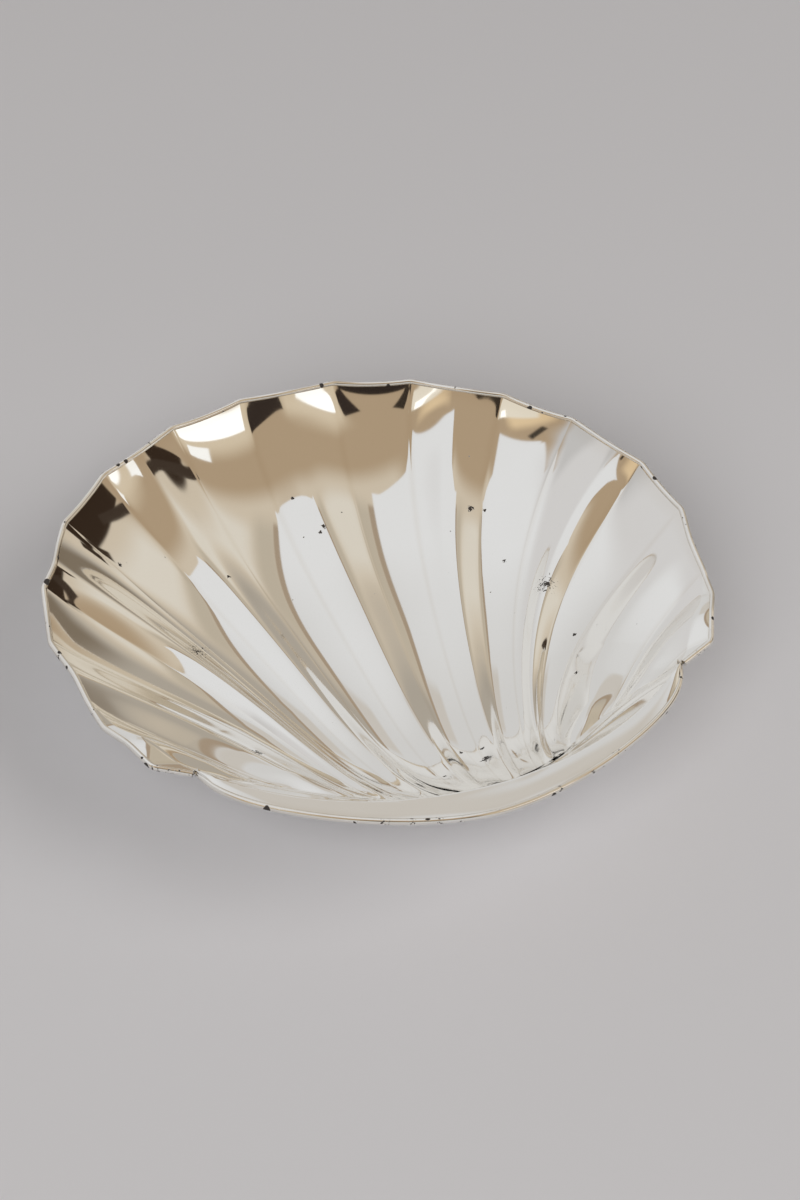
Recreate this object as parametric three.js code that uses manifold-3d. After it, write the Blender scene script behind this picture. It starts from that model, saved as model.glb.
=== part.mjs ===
// Shell dish: a fluted scallop-shell bowl in silver-plated sheet, edged with soldered wire,
// standing on three turned ball feet.
// Millimetres, +Z up. The hinge of the shell points along -Y, and the dish is the same on both
// sides of the plane x = 0. The origin is the middle of the base, on the surface it stands on.

import * as THREE from "three";
import Module from "manifold-3d";
import { mergeVertices } from "three/addons/utils/BufferGeometryUtils.js";

const wasm = await Module();
wasm.setup();

// Outline of the sheet in plan. The fan is part of an ellipse, the hinge is one shallow lobe, and
// a short ear joins them on each side. Lengths run from a base line near the hinge corners.
const halfWidth = 98; // from the middle line to the widest folds
const fanReach = 95; // from the widest line to the far rim
const widestLine = 68;
const rimBow = 0.45; // how far a full rib's edge bows out between its folds; a channel's is straight

// Corners of one side's outline, as shares of the half width and, in front of the widest line, of
// the fan's reach
const outlineCorner = (across, inFront) => ({ x: across * halfWidth, y: widestLine - inFront * fanReach });
const sideCorner = outlineCorner(0.935, 0.415);
const earCorner = outlineCorner(0.846, 0.621);
const hingeCorner = outlineCorner(0.743, 0.668);
const lobeFlank = 34; // the lobe's rise from its tip, out along its flanks
const lobeShoulder = 9; // the further rise close to the hinge corners
const flankCurve = 1.7; // 1 is straight, 2 is a parabola
const shoulderCurve = 12;

// Flutes of the fan: ridged ribs with shallow channels between them, in degrees round the ellipse
const ribAngle = 18.3;
const channelAngle = 14.7;
const ribPairs = 3; // on each side of the middle rib
const ribRise = 4.6; // height that a middle rib nears as it widens
const ribWidening = 30; // width at which a rib has three quarters of that height
const ridgeRoundness = 0.28; // 0 is a sharp ridge, more is rounder
const ridgeShift = 0.2; // how far a side rib's ridge lies towards the hinge, as a share of its width
const sideRise = 0.35; // how much higher the ribs are at the sides, as a share
const rimSink = 0.5; // share of its height that a rib loses at the rim
const rimSinkPower = 6; // more keeps the loss closer to the rim
const channelSink = 0.045; // how far a channel's middle is hollowed, as a share of its width
const channelSinkPower = 3; // more keeps the hollow up to closer to the rim
const ribNose = 9; // length over which the flutes rise from the hinge panel

// Where the flutes run out, on the crease that bounds the hinge panel. Places along it are shares
// of the way from the middle line to the hinge corner.
const creaseReach = 27; // how far the crease stands out in front of the hinge corners
const creaseNarrow = 0.12; // end of the crease's blunt middle
const creaseWide = 0.85; // where the crease is level with the hinge corners
const widestFoot = 0.427; // foot of a flute that ends on the widest line
const sideFeet = [0.687, 0.762, 0.907]; // side channel's two folds and the ear's fold

// Sweep of the flutes: how far along their run, sideways and lengthways, the bend lies
const bendAtMiddle = { across: 0.65, along: 0.8 };
const bendAtWidest = { across: 0.2, along: 0.8 };
const sideBend = { across: 0.52, along: 0.85 };
const earBend = { across: 0.55, along: 1.15 };

// Bowl
const bowlDepth = 28; // from the rim to the lowest point of the inside
const bowlCentre = 78; // lowest point, from the base line
const bowlFlatness = 3.1; // 2 is a parabola, more is flatter in the middle
const lipWidth = 7; // outer zone in which the wall turns up further
const lipRise = 0.3;
const earSlope = 0.3; // rise of the ears where they stand out past the fan's ellipse
const panelBulge = 0.8; // crown of the hinge panel
const sheet = 1.2; // thickness of the metal

// Border wire, soldered round the edge in two lengths that meet at the hinge corners
const wireDiameter = 1.8;
const mitreCut = 1; // length left off each wire's end where they meet

// Feet
const floorClearance = 10; // under the lowest point of the bowl
const footCircle = 0.52; // where the feet stand, as a share of the way out to the rim
const ballDiameter = 10;
const soleDiameter = 4.2; // ground flat that the dish stands on
const neckDiameter = 3.7;
const padDiameter = 10;
const padThickness = 1; // at its thinnest
const fit = 0.3; // clearance between neighbouring pieces

// Feet, in degrees from the far end of the middle line
const footDirections = { hinge: 180, left: -60, right: 60 };

// Fineness of the surfaces
const ribSteps = 6;
const channelSteps = 2;
const earSteps = 3;
const fanRows = 17;
const panelRows = 4;
const wireSides = 8;
const ballSteps = 9; // from the sole to the neck
const ballSides = 20;
const padSides = 28;
const slopeStep = 0.5; // distance over which the bowl's slope is taken
const halvings = 40; // of the distance to the outline
const weldDistance = 1e-4;

const silver = new THREE.MeshStandardMaterial({ color: 0xd9d6cf, roughness: 0.08, metalness: 1 });
const wornSilver = new THREE.MeshStandardMaterial({ color: 0xcfcac0, roughness: 0.16, metalness: 1 });

const radians = (degrees) => (degrees * Math.PI) / 180;
const mix = (from, to, share) => from + (to - from) * share;

function easeIn(from, to, value) {
  const share = Math.min(Math.max((value - from) / (to - from), 0), 1);
  return share * share * (3 - 2 * share);
}

// Point of the fan's ellipse, at an angle measured from the far end
function fanPoint(degrees) {
  const turn = radians(degrees);
  return { x: halfWidth * Math.sin(turn), y: widestLine + fanReach * Math.cos(turn) };
}

function lobeEdge(x) {
  const out = Math.min(Math.abs(x) / hingeCorner.x, 1);
  const tip = hingeCorner.y - lobeFlank - lobeShoulder;
  return tip + lobeFlank * out ** flankCurve + lobeShoulder * out ** shoulderCurve;
}

function crease(x) {
  const out = Math.abs(x) / hingeCorner.x;
  return hingeCorner.y - creaseReach * (1 - easeIn(creaseNarrow, creaseWide, out));
}

function mainFold(angle) {
  const turned = angle / 90;
  const across = mix(bendAtMiddle.across, bendAtWidest.across, turned);
  const along = mix(bendAtMiddle.along, bendAtWidest.along, turned);
  return { rim: fanPoint(angle), foot: widestFoot * turned * hingeCorner.x, bend: { across, along } };
}

// Folds of one side, from the middle rib to the hinge corner
function sideFolds() {
  const folds = [];
  let angle = ribAngle / 2;
  for (let pair = 0; pair <= ribPairs; pair += 1) {
    folds.push(mainFold(angle));
    if (pair < ribPairs) {
      angle += channelAngle;
      folds.push(mainFold(angle));
      angle += ribAngle;
    }
  }
  const [innerFoot, outerFoot, earFoot] = sideFeet.map((share) => share * hingeCorner.x);
  Object.assign(folds[folds.length - 1], { foot: innerFoot, bend: sideBend });
  folds.push({ rim: sideCorner, foot: outerFoot, bend: earBend });
  folds.push({ rim: earCorner, foot: earFoot, bend: earBend });
  folds.push({ rim: hingeCorner, foot: hingeCorner.x, bend: earBend });
  return folds;
}

// Strips between neighbouring folds, from the left hinge corner to the right one
function strips() {
  const right = sideFolds();
  const mirrored = ({ x, y }) => ({ x: -x, y });
  const left = right.map((fold) => ({ ...fold, rim: mirrored(fold.rim), foot: -fold.foot })).reverse();
  const folds = [...left, ...right];
  const last = folds.length - 2;
  return folds.slice(0, -1).map((fold, index) => {
    const isEar = index === 0 || index === last;
    const isRib = !isEar && index % 2 === 1;
    const steps = isEar ? earSteps : isRib ? ribSteps : channelSteps;
    return { from: fold, to: folds[index + 1], isRib, isEar, steps };
  });
}

// Distance from the bowl's centre to the smooth outline that the bowl is dished to, along a
// direction in plan: the ellipse, closed off in front by a plain curve through the lobe's tip
function outlineDistance(dx, dy) {
  let inside = 0;
  let outside = 2 * (halfWidth + fanReach);
  for (let halving = 0; halving < halvings; halving += 1) {
    const middle = (inside + outside) / 2;
    const x = middle * dx;
    const y = bowlCentre + middle * dy;
    const inFan = (x / halfWidth) ** 2 + ((y - widestLine) / fanReach) ** 2 < 1;
    const behindFront = y > hingeCorner.y - (lobeFlank + lobeShoulder) * (1 - (x / hingeCorner.x) ** 2);
    if (inFan && behindFront) inside = middle;
    else outside = middle;
  }
  return inside;
}

// Height of the plain bowl, without its flutes, below the rim plane
function bowlHeight(x, y) {
  const away = Math.hypot(x, y - bowlCentre) || Number.EPSILON;
  const edge = outlineDistance(x / away, (y - bowlCentre) / away);
  const share = Math.min(away / edge, 1);
  const lip = Math.min(Math.max(0, 1 - (edge - away) / lipWidth), 1);
  const ear = earSlope * Math.max(0, away - edge);
  return -bowlDepth * (1 - share ** bowlFlatness) + lipRise * lip ** 2 + ear;
}

function bowlNormal(x, y) {
  const slopeX = (bowlHeight(x + slopeStep, y) - bowlHeight(x - slopeStep, y)) / (2 * slopeStep);
  const slopeY = (bowlHeight(x, y + slopeStep) - bowlHeight(x, y - slopeStep)) / (2 * slopeStep);
  return new THREE.Vector3(-slopeX, -slopeY, 1).normalize();
}

const fullRibWidth = 2 * fanPoint(ribAngle / 2).x;

// Point of the rim between a strip's two folds. A wider rib bows out further.
function rimPoint(strip, share) {
  const { x: fromX, y: fromY } = strip.from.rim;
  const { x: toX, y: toY } = strip.to.rim;
  const bow = strip.isRib ? (rimBow / fullRibWidth) * 4 * share * (1 - share) : 0;
  return [mix(fromX, toX, share) - bow * (toY - fromY), mix(fromY, toY, share) + bow * (toX - fromX)];
}

// Point of a flute's run in plan, from its foot on the crease to the rim
function runPoint(strip, share, along) {
  const footX = mix(strip.from.foot, strip.to.foot, share);
  const footY = crease(footX);
  const [rimX, rimY] = rimPoint(strip, share);
  const bendX = mix(footX, rimX, mix(strip.from.bend.across, strip.to.bend.across, share));
  const bendY = mix(footY, rimY, mix(strip.from.bend.along, strip.to.bend.along, share));
  const back = 1 - along;
  return [
    back * back * footX + 2 * back * along * bendX + along * along * rimX,
    back * back * footY + 2 * back * along * bendY + along * along * rimY,
  ];
}

function widthAt(strip, along) {
  const [fromX, fromY] = runPoint(strip, 0, along);
  const [toX, toY] = runPoint(strip, 1, along);
  return Math.hypot(toX - fromX, toY - fromY);
}

// Height of a rib over the plain bowl
function ribLift(strip, share, along) {
  const rimMiddle = (strip.from.rim.x + strip.to.rim.x) / 2;
  const sideways = Math.min(Math.abs(rimMiddle) / halfWidth, 1) ** 2;
  const outwards = rimMiddle > 0 ? share : 1 - share;
  const bend = Math.log(0.5) / Math.log(0.5 + ridgeShift * sideways);
  const fromRidge = 2 * outwards ** bend - 1;
  const foldReach = Math.hypot(1, ridgeRoundness);
  const profile = (foldReach - Math.hypot(fromRidge, ridgeRoundness)) / (foldReach - ridgeRoundness);
  const widened = Math.tanh(widthAt(strip, along) / ribWidening);
  return ribRise * (1 + sideRise * sideways) * widened * (1 - rimSink * along ** rimSinkPower) * profile;
}

// Height of a channel over the plain bowl, which is less than nothing
function channelLift(strip, share, along) {
  const hollow = channelSink * widthAt(strip, along) * (1 - along ** channelSinkPower);
  return -hollow * 4 * share * (1 - share);
}

// Inside surface of the fan
function fanSurface(strip, share, along) {
  const [x, y] = runPoint(strip, share, along);
  const point = new THREE.Vector3(x, y, bowlHeight(x, y));
  if (strip.isEar) return point;
  const [rimX, rimY] = runPoint(strip, share, 1);
  const [footX, footY] = runPoint(strip, share, 0);
  const fromNose = (along * Math.hypot(rimX - footX, rimY - footY)) / ribNose;
  const nose = 1 - (1 - Math.min(fromNose, 1)) ** 2;
  const lift = strip.isRib ? ribLift(strip, share, along) : channelLift(strip, share, along);
  return point.addScaledVector(bowlNormal(x, y), lift * nose);
}

// Inside surface of the hinge panel, from the lobe's edge to the crease
function panelSurface(x, share) {
  const y = mix(lobeEdge(x), crease(x), share);
  const crown = panelBulge * (1 - (2 * share - 1) ** 2);
  return new THREE.Vector3(x, y, bowlHeight(x, y) + crown);
}

// Inside surface of the whole bowl as columns of points, each from the hinge edge to the far rim.
// The first and last columns are the hinge corners, where both edges meet in one point.
function surfaceColumns() {
  const columns = [];
  const all = strips();
  all.forEach((strip, index) => {
    const lastStep = index === all.length - 1 ? strip.steps : strip.steps - 1;
    for (let step = 0; step <= lastStep; step += 1) {
      const share = step / strip.steps;
      const column = [];
      const footX = mix(strip.from.foot, strip.to.foot, share);
      for (let row = 0; row < panelRows; row += 1) column.push(panelSurface(footX, row / panelRows));
      for (let row = 0; row <= fanRows; row += 1) column.push(fanSurface(strip, share, row / fanRows));
      columns.push(column);
    }
  });
  for (const end of [columns[0], columns[columns.length - 1]]) {
    const corner = end[end.length - 1].clone();
    end.forEach((point) => point.copy(corner));
  }
  return columns;
}

const rows = panelRows + fanRows + 1;
const columns = surfaceColumns();

// A vertex number for each place in the grid, with one number for a whole end column
function vertexNumber(column, row) {
  if (column === 0) return 0;
  if (column === columns.length - 1) return 1;
  return 2 + (column - 1) * rows + row;
}

function insideVertices() {
  const points = [columns[0][0], columns[columns.length - 1][0]];
  for (const column of columns.slice(1, -1)) points.push(...column);
  return points.map((point) => point.clone());
}

function insideTriangles() {
  const triangles = [];
  const keep = (a, b, c) => {
    if (a !== b && b !== c && c !== a) triangles.push([a, b, c]);
  };
  for (let column = 0; column < columns.length - 1; column += 1) {
    for (let row = 0; row < rows - 1; row += 1) {
      const nearLeft = vertexNumber(column, row);
      const nearRight = vertexNumber(column + 1, row);
      const farRight = vertexNumber(column + 1, row + 1);
      const farLeft = vertexNumber(column, row + 1);
      keep(nearLeft, nearRight, farRight);
      keep(nearLeft, farRight, farLeft);
    }
  }
  return triangles;
}

function geometryFrom(points, triangles) {
  const geometry = new THREE.BufferGeometry();
  geometry.setAttribute("position", new THREE.Float32BufferAttribute(points.flatMap((p) => p.toArray()), 3));
  geometry.setIndex(triangles.flat());
  geometry.computeVertexNormals();
  return geometry;
}

const inside = insideVertices();
const insideFaces = insideTriangles();

function insideNormals() {
  const normals = geometryFrom(inside, insideFaces).getAttribute("normal");
  return inside.map((_, index) => new THREE.Vector3().fromBufferAttribute(normals, index));
}

const normals = insideNormals();
const below = (depth) => inside.map((point, index) => point.clone().addScaledVector(normals[index], -depth));
const above = (height) => inside.map((point) => point.clone().setZ(point.z + height));

// Closed solid between a lower and an upper copy of the bowl's surface
function solidBetween(lower, upper) {
  const count = upper.length;
  const triangles = [...insideFaces];
  for (const [a, b, c] of insideFaces) triangles.push([a + count, c + count, b + count]);
  for (let column = 0; column < columns.length - 1; column += 1) {
    const near = [vertexNumber(column, 0), vertexNumber(column + 1, 0)];
    const far = [vertexNumber(column + 1, rows - 1), vertexNumber(column, rows - 1)];
    for (const [from, to] of [near, far]) {
      triangles.push([from + count, to + count, to]);
      triangles.push([from + count, to, from]);
    }
  }
  return geometryFrom([...upper, ...lower], triangles);
}

// Path through given points, met one after another at equal steps
class PointPath extends THREE.Curve {
  constructor(points) {
    super();
    this.points = points;
  }

  getPoint(share) {
    const place = Math.min(Math.max(share, 0), 1) * (this.points.length - 1);
    const index = Math.min(Math.floor(place), this.points.length - 2);
    return this.points[index].clone().lerp(this.points[index + 1], place - index);
  }

  getPointAt(share) {
    return this.getPoint(share);
  }

  getTangentAt(share) {
    return this.getTangent(share);
  }
}

// Centre line of a wire that lies against one edge of the sheet, from corner to corner
function wirePath(row, nextRow) {
  const lower = below(sheet);
  const middleOf = (vertex) => inside[vertex].clone().lerp(lower[vertex], 0.5);
  const offsets = [];
  const points = [];
  for (let column = 1; column < columns.length - 1; column += 1) {
    const edge = vertexNumber(column, row);
    const before = inside[vertexNumber(column - 1, row)];
    const after = inside[vertexNumber(column + 1, row)];
    const along = after.clone().sub(before).normalize();
    const outward = inside[edge].clone().sub(inside[vertexNumber(column, nextRow)]);
    outward.addScaledVector(along, -outward.dot(along)).setLength(wireDiameter / 2 + fit);
    offsets.push(outward);
    points.push(middleOf(edge).add(outward));
  }
  const start = middleOf(0).add(offsets[0]);
  start.lerp(points[0], mitreCut / start.distanceTo(points[0]));
  const end = middleOf(1).add(offsets.at(-1));
  end.lerp(points.at(-1), mitreCut / end.distanceTo(points.at(-1)));
  return [start, ...points, end];
}

function wireGeometry(points) {
  const section = new THREE.Shape();
  for (let side = 0; side < wireSides; side += 1) {
    const turn = (2 * Math.PI * side) / wireSides;
    const place = [(wireDiameter / 2) * Math.cos(turn), (wireDiameter / 2) * Math.sin(turn)];
    if (side === 0) section.moveTo(...place);
    else section.lineTo(...place);
  }
  return new THREE.ExtrudeGeometry(section, {
    steps: points.length - 1,
    extrudePath: new PointPath(points),
    bevelEnabled: false,
  });
}

// Heights of the foot pieces, with the rim plane at zero
const floor = -bowlDepth - sheet - floorClearance;
const deepestHollow = channelSink * 2 * halfWidth * Math.sin(radians(channelAngle / 2));

function padBottom(x, y) {
  const away = Math.hypot(x, y - bowlCentre);
  const share = (away - padDiameter / 2) / away;
  const lowest = bowlHeight(x * share, mix(bowlCentre, y, share));
  return lowest - deepestHollow - sheet - fit - padThickness;
}

function footGeometry(height) {
  const radius = ballDiameter / 2;
  const soleTurn = Math.asin(soleDiameter / ballDiameter);
  const neckTurn = Math.PI - Math.asin(neckDiameter / ballDiameter);
  const centre = radius * Math.cos(soleTurn);
  const profile = [new THREE.Vector2(0, 0)];
  for (let step = 0; step <= ballSteps; step += 1) {
    const turn = mix(soleTurn, neckTurn, step / ballSteps);
    profile.push(new THREE.Vector2(radius * Math.sin(turn), centre - radius * Math.cos(turn)));
  }
  profile.push(new THREE.Vector2(neckDiameter / 2, height));
  profile.push(new THREE.Vector2(0, height));
  const geometry = new THREE.LatheGeometry(profile, ballSides);
  geometry.rotateX(Math.PI / 2);
  return geometry;
}

function toManifold(geometry) {
  const bare = geometry.clone();
  bare.deleteAttribute("normal");
  bare.deleteAttribute("uv");
  const merged = mergeVertices(bare, weldDistance);
  return new wasm.Manifold(new wasm.Mesh({
    numProp: 3,
    vertProperties: new Float32Array(merged.getAttribute("position").array),
    triVerts: new Uint32Array(merged.getIndex().array),
  }));
}

function fromManifold(solid) {
  const mesh = solid.getMesh();
  const geometry = new THREE.BufferGeometry();
  geometry.setAttribute("position", new THREE.Float32BufferAttribute(mesh.vertProperties, 3));
  geometry.setIndex(Array.from(mesh.triVerts));
  geometry.computeVertexNormals();
  return geometry;
}

// A disc under the bowl, its top shaped to the underside
function padGeometry(x, y) {
  const bottom = padBottom(x, y);
  const height = bowlDepth / 2;
  const disc = new THREE.CylinderGeometry(padDiameter / 2, padDiameter / 2, height, padSides);
  disc.rotateX(Math.PI / 2);
  disc.translate(x, y, bottom + height / 2);
  const room = solidBetween(below(sheet + fit), above(bowlDepth));
  return fromManifold(toManifold(disc).subtract(toManifold(room)));
}

const dish = new THREE.Group();

function addPiece(name, geometry, material) {
  const mesh = new THREE.Mesh(geometry, material);
  mesh.name = name;
  dish.add(mesh);
  return mesh;
}

addPiece("shell_bowl", solidBetween(below(sheet), inside), silver);
addPiece("fan_rim_wire", wireGeometry(wirePath(rows - 1, rows - 2)), wornSilver);
addPiece("hinge_rim_wire", wireGeometry(wirePath(0, 1)), wornSilver);

// One foot under the hinge, two under the fan
for (const [side, degrees] of Object.entries(footDirections)) {
  const dx = Math.sin(radians(degrees));
  const dy = Math.cos(radians(degrees));
  const away = footCircle * outlineDistance(dx, dy);
  const x = away * dx;
  const y = bowlCentre + away * dy;
  addPiece(`foot_pad_${side}`, padGeometry(x, y), wornSilver);
  const foot = addPiece(`ball_foot_${side}`, footGeometry(padBottom(x, y) - fit - floor), silver);
  foot.position.set(x, y, floor);
}

// Stand the dish on its origin
const box = new THREE.Box3().setFromObject(dish);
const middle = box.getCenter(new THREE.Vector3());
dish.position.set(-middle.x, -middle.y, -box.min.z);

export default dish;
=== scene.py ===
import math
import bpy
import numpy as np
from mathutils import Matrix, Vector
from mathutils.bvhtree import BVHTree


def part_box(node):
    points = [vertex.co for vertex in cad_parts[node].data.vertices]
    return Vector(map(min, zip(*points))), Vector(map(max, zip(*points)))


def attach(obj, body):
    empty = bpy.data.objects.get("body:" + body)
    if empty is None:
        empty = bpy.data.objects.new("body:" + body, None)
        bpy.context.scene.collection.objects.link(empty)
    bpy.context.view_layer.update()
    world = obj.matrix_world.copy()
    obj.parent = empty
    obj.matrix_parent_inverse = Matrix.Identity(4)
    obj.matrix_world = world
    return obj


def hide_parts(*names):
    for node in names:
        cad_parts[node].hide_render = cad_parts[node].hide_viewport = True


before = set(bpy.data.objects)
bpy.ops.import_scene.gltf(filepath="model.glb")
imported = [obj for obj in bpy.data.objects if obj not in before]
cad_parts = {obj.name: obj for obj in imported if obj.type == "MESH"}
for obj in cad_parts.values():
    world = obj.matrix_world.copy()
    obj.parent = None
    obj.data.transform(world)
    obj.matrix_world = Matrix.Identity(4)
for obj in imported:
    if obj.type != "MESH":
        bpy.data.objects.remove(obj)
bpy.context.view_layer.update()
print("frame loaded,", len(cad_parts), "nodes")

mm = 0.001
scene = bpy.context.scene
scene.view_settings.view_transform = "Standard"


# The photo's camera: high in front of the hinge, a little to the left.
cameraValues = {
    "place": (-0.1886, -0.5981, 0.5870),
    "turned": 18.006,  # degrees to the right of +Y
    "lookingDown": 41.36,
    "lens": 83.94,  # mm
    "pictureHeight": 36.0,  # mm
    "nearest": 0.01,
}


def makeCamera(values):
    data = bpy.data.cameras.new("photo camera")
    data.sensor_fit = "VERTICAL"
    data.sensor_height = values["pictureHeight"]
    data.lens = values["lens"]
    data.clip_start = values["nearest"]
    camera = bpy.data.objects.new("photo camera", data)
    camera.location = values["place"]
    tilt = math.radians(90 - values["lookingDown"])
    camera.rotation_euler = (tilt, 0, -math.radians(values["turned"]))
    scene.collection.objects.link(camera)
    scene.camera = camera


makeCamera(cameraValues)


# The dish's surface: a plain bowl, with ridged ribs and slightly hollowed channels fanned out on
# it. Lengths are in mm, from a base line near the hinge corners and from the plane of the rim.
bowlValues = {
    "halfWidth": 98.0,
    "fanReach": 95.0,
    "widestLine": 68.0,
    "sideCorner": (91.6, 28.6),
    "earCorner": (82.9, 9.0),
    "hingeCorner": (72.8, 4.5),
    "lobeFlank": 34.0,
    "lobeShoulder": 9.0,
    "flankCurve": 1.7,
    "shoulderCurve": 12.0,
    "ribAngle": 18.3,
    "channelAngle": 14.7,
    "ribPairs": 3,
    "ribRise": 4.6,
    "ribRun": 30.0,  # a rib this wide has three quarters of its full rise
    "ridge": 0.28,  # roundness of the ridge, as a share of half the rib's width
    "rimSink": 0.5,  # how much of its rise a rib has lost at the rim
    "rimSinkPower": 6,  # the higher, the nearer to the rim it sinks
    "ridgeShift": 0.2,  # of the side ribs' ridges towards the hinge, as a share of the width
    "sideRise": 0.35,  # how much higher the side ribs are
    "sideZone": (-20.0, 10.0),  # from the widest line, where the side ribs take on these two
    "channelSink": 0.045,  # how far a channel's middle is hollowed, as a share of its width
    "channelSinkPower": 3,
    "ribNose": 9.0,  # length over which a rib rises from the crease
    "rimBow": 0.45,
    "creaseReach": 27.0,
    "creaseNarrow": 9.0,
    "creaseWide": 62.0,
    "footSpread": 0.345,
    "sideFeet": (50.0, 55.5, 66.0),
    "bendAtMiddle": (0.65, 0.8),
    "bendAtWidest": (0.2, 0.8),
    "sideBend": (0.52, 0.85),
    "earBend": (0.55, 1.15),
    "bowlDepth": 28.0,
    "bowlCentre": 78.0,
    "bowlFlatness": 3.1,
    "lipWidth": 7.0,  # outer zone in which the wall turns up further
    "lipRise": 0.3,
    "earSlope": 0.3,
    "panelBulge": 0.8,
    "panelBead": 0.3,  # height of the soft bead along the crease
    "panelBeadPlace": 4.0,  # from the crease
    "panelBeadWidth": 1.8,
    "foldSoftness": 0.16,  # how far the striking rounded the folds
    "foldSoftWidth": 8.0,  # runs narrower than this have tighter folds
    "foldSpread": 1.2,  # how wide the rounding is, next to the rib's slope
    "foldTarnishReach": 1.6,
    "rimTarnishRows": 3.0,
    "sheet": 1.2,
    "basePlace": (0.0, -61.64, 39.2),  # where the base line's middle is on the standing dish
    "ribSteps": 28,
    "channelSteps": 16,
    "fanRows": 120,
    "panelRows": 30,
    "smoothAngle": 50,
}
b = bowlValues


def mix(start, end, share):
    return start + (end - start) * share


def easeIn(start, end, value):
    share = np.clip((value - start) / (end - start), 0, 1)
    return share * share * (3 - 2 * share)


def fanPoint(degrees):
    turn = math.radians(degrees)
    x = b["halfWidth"] * math.sin(turn)
    y = b["widestLine"] + b["fanReach"] * math.cos(turn)
    return np.array([x, y])


def lobeEdge(x):
    out = np.minimum(np.abs(x) / b["hingeCorner"][0], 1)
    tip = b["hingeCorner"][1] - b["lobeFlank"] - b["lobeShoulder"]
    flank = b["lobeFlank"] * out ** b["flankCurve"]
    return tip + flank + b["lobeShoulder"] * out ** b["shoulderCurve"]


def crease(x):
    narrowing = easeIn(b["creaseNarrow"], b["creaseWide"], np.abs(x))
    return b["hingeCorner"][1] - b["creaseReach"] * (1 - narrowing)


def sideFolds():
    # the right half's folds, from the middle outwards: their ends, and how they bend between them
    folds = []
    angle = b["ribAngle"] / 2
    for pair in range(b["ribPairs"] + 1):
        for step in ((0, b["channelAngle"]) if pair < b["ribPairs"] else (0,)):
            angle += step
            bends = zip(b["bendAtMiddle"], b["bendAtWidest"])
            bend = [mix(near, far, angle / 90) for near, far in bends]
            folds.append({"rim": fanPoint(angle), "foot": b["footSpread"] * angle, "bend": bend})
        angle += b["ribAngle"]
    inner, outer, ear = b["sideFeet"]
    folds[-1].update(foot=inner, bend=b["sideBend"])
    folds.append({"rim": np.array(b["sideCorner"]), "foot": outer, "bend": b["earBend"]})
    folds.append({"rim": np.array(b["earCorner"]), "foot": ear, "bend": b["earBend"]})
    corner = np.array(b["hingeCorner"])
    folds.append({"rim": corner, "foot": corner[0], "bend": b["earBend"]})
    return folds


def allFolds():
    right = sideFolds()
    left = [{**fold, "rim": fold["rim"] * (-1, 1), "foot": -fold["foot"]} for fold in right]
    return left[::-1] + right


def outlineDistance(dx, dy):
    # from the bowl's centre to the dish's outline, found by halving
    inside = np.zeros_like(dx)
    outside = np.full_like(dx, 2 * (b["halfWidth"] + b["fanReach"]))
    cornerX, cornerY = b["hingeCorner"]
    halvings = 40
    for _ in range(halvings):
        middle = (inside + outside) / 2
        x = middle * dx
        y = b["bowlCentre"] + middle * dy
        inFan = (x / b["halfWidth"]) ** 2 + ((y - b["widestLine"]) / b["fanReach"]) ** 2 < 1
        behindFront = y > cornerY - (b["lobeFlank"] + b["lobeShoulder"]) * (1 - (x / cornerX) ** 2)
        within = inFan & behindFront
        inside = np.where(within, middle, inside)
        outside = np.where(within, outside, middle)
    return inside


def bowlHeight(x, y):
    away = np.hypot(x, y - b["bowlCentre"]) + 1e-6
    edge = outlineDistance(x / away, (y - b["bowlCentre"]) / away)
    share = np.minimum(away / edge, 1)
    lip = np.clip(1 - (edge - away) / b["lipWidth"], 0, 1)
    ear = b["earSlope"] * np.maximum(0, away - edge)
    return -b["bowlDepth"] * (1 - share ** b["bowlFlatness"]) + b["lipRise"] * lip ** 2 + ear


def bowlNormal(x, y):
    step = 0.5
    slopeX = (bowlHeight(x + step, y) - bowlHeight(x - step, y)) / (2 * step)
    slopeY = (bowlHeight(x, y + step) - bowlHeight(x, y - step)) / (2 * step)
    normal = np.stack([-slopeX, -slopeY, np.ones_like(slopeX)], -1)
    return normal / np.linalg.norm(normal, axis=-1, keepdims=True)


fullRibWidth = 2 * fanPoint(b["ribAngle"] / 2)[0]


def runPoint(start, end, share, along, isRib):
    footX = mix(start["foot"], end["foot"], share)
    footY = crease(footX)
    chord = end["rim"] - start["rim"]
    bow = b["rimBow"] / fullRibWidth * 4 * share * (1 - share) if isRib else 0.0
    rimX = mix(start["rim"][0], end["rim"][0], share) - bow * chord[1]
    rimY = mix(start["rim"][1], end["rim"][1], share) + bow * chord[0]
    bendX = mix(footX, rimX, mix(start["bend"][0], end["bend"][0], share))
    bendY = mix(footY, rimY, mix(start["bend"][1], end["bend"][1], share))
    back = 1 - along
    x = back * back * footX + 2 * back * along * bendX + along * along * rimX
    y = back * back * footY + 2 * back * along * bendY + along * along * rimY
    return x, y


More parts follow.
